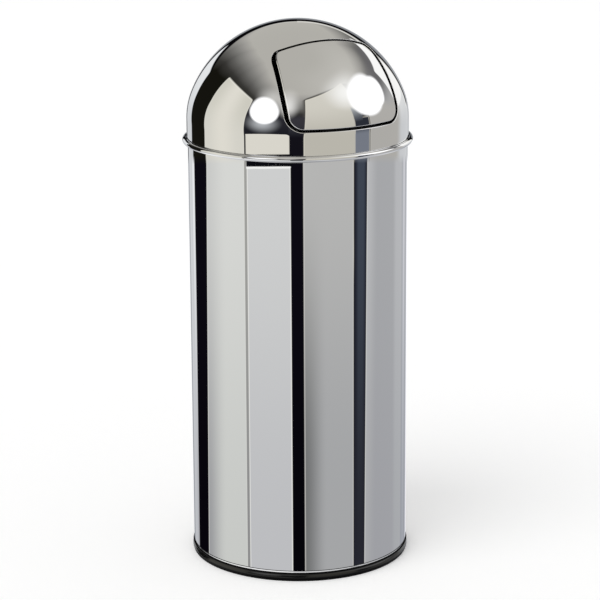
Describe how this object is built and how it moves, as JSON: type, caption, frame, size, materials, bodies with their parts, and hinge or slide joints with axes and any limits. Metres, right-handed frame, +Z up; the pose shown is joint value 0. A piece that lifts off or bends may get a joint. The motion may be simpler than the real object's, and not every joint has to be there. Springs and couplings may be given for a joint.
{
  "type": "dome top waste receptacle",
  "caption": "Tall round mirror-polished steel waste bin with a lift-off domed lid, a sprung inward push flap and a lift-out liner with a bail handle.",
  "frame": {"origin": "centre of the base ring's underside, on the floor", "axes": "+Z up along the body's axis, -Y to the front where the flap is, +X to the right as seen from in front"},
  "size_m": [0.3146, 0.3146, 0.7494],
  "materials": {
    "polished_steel": "mirror-polished stainless steel sheet",
    "plain_steel": "plain mill-finish stainless steel",
    "blackened_steel": "phosphate-blackened steel strip",
    "bright_rod": "bright drawn steel rod and zinc-plated push-on caps",
    "spring_steel": "oiled spring steel wire",
    "galvanised_steel": "galvanised sheet steel with faint spangle",
    "bail_steel": "zinc-plated steel wire",
    "black_plastic": "satin black moulded plastic",
    "black_rubber": "matt black rubber",
    "grip_sleeve": "black flexible plastic sleeve"
  },
  "bodies": {
    "bin": {"body_shell": "polished_steel", "base_plate": "plain_steel", "base_ring": "black_plastic"},
    "lid": {"dome_lid": "polished_steel", "lid_collar": "plain_steel", "hinge_lug_left": "plain_steel", "hinge_lug_right": "plain_steel", "hinge_rod": "bright_rod", "rod_cap_left": "bright_rod", "rod_cap_right": "bright_rod"},
    "flap": {"flap_panel": "polished_steel", "flap_ear_left": "plain_steel", "flap_ear_right": "plain_steel", "flap_spring_left": "spring_steel", "flap_spring_right": "spring_steel", "stop_strip": "blackened_steel", "stop_bumper_left": "black_rubber", "stop_bumper_right": "black_rubber"},
    "liner": {"liner_wall": "galvanised_steel", "liner_base": "galvanised_steel", "liner_rim_wire": "galvanised_steel", "liner_ear_left": "galvanised_steel", "liner_ear_right": "galvanised_steel", "liner_ear_rivets": "galvanised_steel"},
    "bail": {"bail_wire": "bail_steel", "bail_grip": "grip_sleeve"}
  },
  "joints": [
    {"name": "lid_lift", "type": "slide", "parent": "bin", "child": "lid", "axis": [0, 0, 1], "range_m": [0, 0.75]},
    {"name": "flap_hinge", "type": "hinge", "parent": "lid", "child": "flap", "pos_m": [0, -0.05888, 0.70922], "axis": [1, 0, 0], "range_deg": [0, 70], "stiffness_Nm_per_rad": 0.12, "springref_deg": -97.4},
    {"name": "liner_lift", "type": "slide", "parent": "bin", "child": "liner", "axis": [0, 0, 1], "range_m": [0, 0.6]},
    {"name": "bail_swing", "type": "hinge", "parent": "liner", "child": "bail", "pos_m": [0, 0, 0.56912], "axis": [1, 0, 0], "range_deg": [0, 180]}
  ],
  "couplings": [
    {"joint": "liner_lift", "follows": "lid_lift", "ratio": 0.8}
  ]
}
